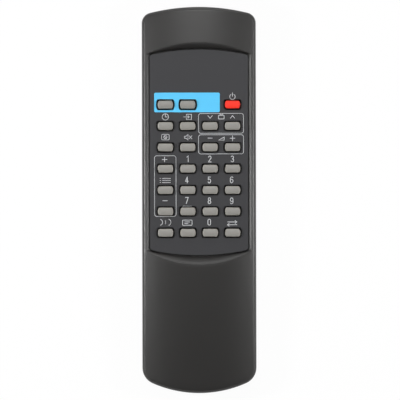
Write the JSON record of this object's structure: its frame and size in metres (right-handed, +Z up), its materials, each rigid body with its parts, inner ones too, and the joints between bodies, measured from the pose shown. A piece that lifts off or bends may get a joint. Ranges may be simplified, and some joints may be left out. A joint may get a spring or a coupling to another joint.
{
  "type": "television remote control",
  "caption": "Slim handset with a domed shell, an inset face plate with rows of barrel-shaped press keys, a blank grip over the battery compartment and a sliding battery cover.",
  "frame": {"origin": "centre of the footprint, on the surface that the handset lies on", "axes": "+Y along the handset towards the infrared window, +Z up out of the keys, +X across it"},
  "size_m": [0.0532, 0.1799, 0.0203],
  "materials": {
    "case_plastic": "fine moulded grain",
    "plate_plastic": "satin, printed legends",
    "key_grey": "satin silicone rubber",
    "key_red": "satin silicone rubber",
    "window_plastic": "polished, infrared clear",
    "board_laminate": "paper laminate with carbon contacts",
    "mat_rubber": "plain silicone rubber",
    "led_resin": "clear tinted resin",
    "component_resin": "moulded resin",
    "resonator_lacquer": "dipped lacquer",
    "capacitor_can": "can in a shrunk sleeve",
    "capacitor_ceramic": "fired ceramic",
    "cell_sleeve": "cell can in a plain sleeve",
    "contact_spring_steel": "nickel plated",
    "screw_steel": "zinc plated"
  },
  "bodies": {
    "handset": {"upper_case": "case_plastic", "lower_case": "case_plastic", "face_plate": "plate_plastic", "ir_window": "window_plastic", "circuit_board": "board_laminate", "keypad_mat": "mat_rubber", "ir_led": "led_resin", "controller_chip": "component_resin", "ceramic_resonator": "resonator_lacquer", "filter_capacitor": "capacitor_can", "driver_transistor": "component_resin", "resistors": "component_resin", "ceramic_capacitors": "capacitor_ceramic", "battery_cell_left": "cell_sleeve", "battery_cell_right": "cell_sleeve", "plate_contact": "contact_spring_steel", "spring_contact": "contact_spring_steel", "bridge_contact": "contact_spring_steel", "case_screws": "screw_steel"},
    "battery_cover": {"battery_cover": "case_plastic"},
    "key_left_function": {"key_left_function": "key_grey"},
    "key_right_function": {"key_right_function": "key_grey"},
    "key_power": {"key_power": "key_red"},
    "key_timer": {"key_timer": "key_grey"},
    "key_input": {"key_input": "key_grey"},
    "key_channel_down": {"key_channel_down": "key_grey"},
    "key_channel_up": {"key_channel_up": "key_grey"},
    "key_picture": {"key_picture": "key_grey"},
    "key_mute": {"key_mute": "key_grey"},
    "key_volume_down": {"key_volume_down": "key_grey"},
    "key_volume_up": {"key_volume_up": "key_grey"},
    "key_adjust_up": {"key_adjust_up": "key_grey"},
    "key_1": {"key_1": "key_grey"},
    "key_2": {"key_2": "key_grey"},
    "key_3": {"key_3": "key_grey"},
    "key_menu": {"key_menu": "key_grey"},
    "key_4": {"key_4": "key_grey"},
    "key_5": {"key_5": "key_grey"},
    "key_6": {"key_6": "key_grey"},
    "key_adjust_down": {"key_adjust_down": "key_grey"},
    "key_7": {"key_7": "key_grey"},
    "key_8": {"key_8": "key_grey"},
    "key_9": {"key_9": "key_grey"},
    "key_sound": {"key_sound": "key_grey"},
    "key_display": {"key_display": "key_grey"},
    "key_0": {"key_0": "key_grey"},
    "key_recall": {"key_recall": "key_grey"}
  },
  "joints": [
    {"name": "key_left_function_press", "type": "slide", "parent": "handset", "child": "key_left_function", "axis": [0, 0, -1], "range_m": [0, 0.001], "stiffness_N_per_m": 600},
    {"name": "key_right_function_press", "type": "slide", "parent": "handset", "child": "key_right_function", "axis": [0, 0, -1], "range_m": [0, 0.001], "stiffness_N_per_m": 600},
    {"name": "key_power_press", "type": "slide", "parent": "handset", "child": "key_power", "axis": [0, 0, -1], "range_m": [0, 0.001], "stiffness_N_per_m": 600},
    {"name": "key_timer_press", "type": "slide", "parent": "handset", "child": "key_timer", "axis": [0, 0, -1], "range_m": [0, 0.001], "stiffness_N_per_m": 600},
    {"name": "key_input_press", "type": "slide", "parent": "handset", "child": "key_input", "axis": [0, 0, -1], "range_m": [0, 0.001], "stiffness_N_per_m": 600},
    {"name": "key_channel_down_press", "type": "slide", "parent": "handset", "child": "key_channel_down", "axis": [0, 0, -1], "range_m": [0, 0.001], "stiffness_N_per_m": 600},
    {"name": "key_channel_up_press", "type": "slide", "parent": "handset", "child": "key_channel_up", "axis": [0, 0, -1], "range_m": [0, 0.001], "stiffness_N_per_m": 600},
    {"name": "key_picture_press", "type": "slide", "parent": "handset", "child": "key_picture", "axis": [0, 0, -1], "range_m": [0, 0.001], "stiffness_N_per_m": 600},
    {"name": "key_mute_press", "type": "slide", "parent": "handset", "child": "key_mute", "axis": [0, 0, -1], "range_m": [0, 0.001], "stiffness_N_per_m": 600},
    {"name": "key_volume_down_press", "type": "slide", "parent": "handset", "child": "key_volume_down", "axis": [0, 0, -1], "range_m": [0, 0.001], "stiffness_N_per_m": 600},
    {"name": "key_volume_up_press", "type": "slide", "parent": "handset", "child": "key_volume_up", "axis": [0, 0, -1], "range_m": [0, 0.001], "stiffness_N_per_m": 600},
    {"name": "key_adjust_up_press", "type": "slide", "parent": "handset", "child": "key_adjust_up", "axis": [0, 0, -1], "range_m": [0, 0.001], "stiffness_N_per_m": 600},
    {"name": "key_1_press", "type": "slide", "parent": "handset", "child": "key_1", "axis": [0, 0, -1], "range_m": [0, 0.001], "stiffness_N_per_m": 600},
    {"name": "key_2_press", "type": "slide", "parent": "handset", "child": "key_2", "axis": [0, 0, -1], "range_m": [0, 0.001], "stiffness_N_per_m": 600},
    {"name": "key_3_press", "type": "slide", "parent": "handset", "child": "key_3", "axis": [0, 0, -1], "range_m": [0, 0.001], "stiffness_N_per_m": 600},
    {"name": "key_menu_press", "type": "slide", "parent": "handset", "child": "key_menu", "axis": [0, 0, -1], "range_m": [0, 0.001], "stiffness_N_per_m": 600},
    {"name": "key_4_press", "type": "slide", "parent": "handset", "child": "key_4", "axis": [0, 0, -1], "range_m": [0, 0.001], "stiffness_N_per_m": 600},
    {"name": "key_5_press", "type": "slide", "parent": "handset", "child": "key_5", "axis": [0, 0, -1], "range_m": [0, 0.001], "stiffness_N_per_m": 600},
    {"name": "key_6_press", "type": "slide", "parent": "handset", "child": "key_6", "axis": [0, 0, -1], "range_m": [0, 0.001], "stiffness_N_per_m": 600},
    {"name": "key_adjust_down_press", "type": "slide", "parent": "handset", "child": "key_adjust_down", "axis": [0, 0, -1], "range_m": [0, 0.001], "stiffness_N_per_m": 600},
    {"name": "key_7_press", "type": "slide", "parent": "handset", "child": "key_7", "axis": [0, 0, -1], "range_m": [0, 0.001], "stiffness_N_per_m": 600},
    {"name": "key_8_press", "type": "slide", "parent": "handset", "child": "key_8", "axis": [0, 0, -1], "range_m": [0, 0.001], "stiffness_N_per_m": 600},
    {"name": "key_9_press", "type": "slide", "parent": "handset", "child": "key_9", "axis": [0, 0, -1], "range_m": [0, 0.001], "stiffness_N_per_m": 600},
    {"name": "key_sound_press", "type": "slide", "parent": "handset", "child": "key_sound", "axis": [0, 0, -1], "range_m": [0, 0.001], "stiffness_N_per_m": 600},
    {"name": "key_display_press", "type": "slide", "parent": "handset", "child": "key_display", "axis": [0, 0, -1], "range_m": [0, 0.001], "stiffness_N_per_m": 600},
    {"name": "key_0_press", "type": "slide", "parent": "handset", "child": "key_0", "axis": [0, 0, -1], "range_m": [0, 0.001], "stiffness_N_per_m": 600},
    {"name": "key_recall_press", "type": "slide", "parent": "handset", "child": "key_recall", "axis": [0, 0, -1], "range_m": [0, 0.001], "stiffness_N_per_m": 600},
    {"name": "battery_cover_slide", "type": "slide", "parent": "handset", "child": "battery_cover", "axis": [0, -1, 0], "range_m": [0, 0.06]}
  ]
}
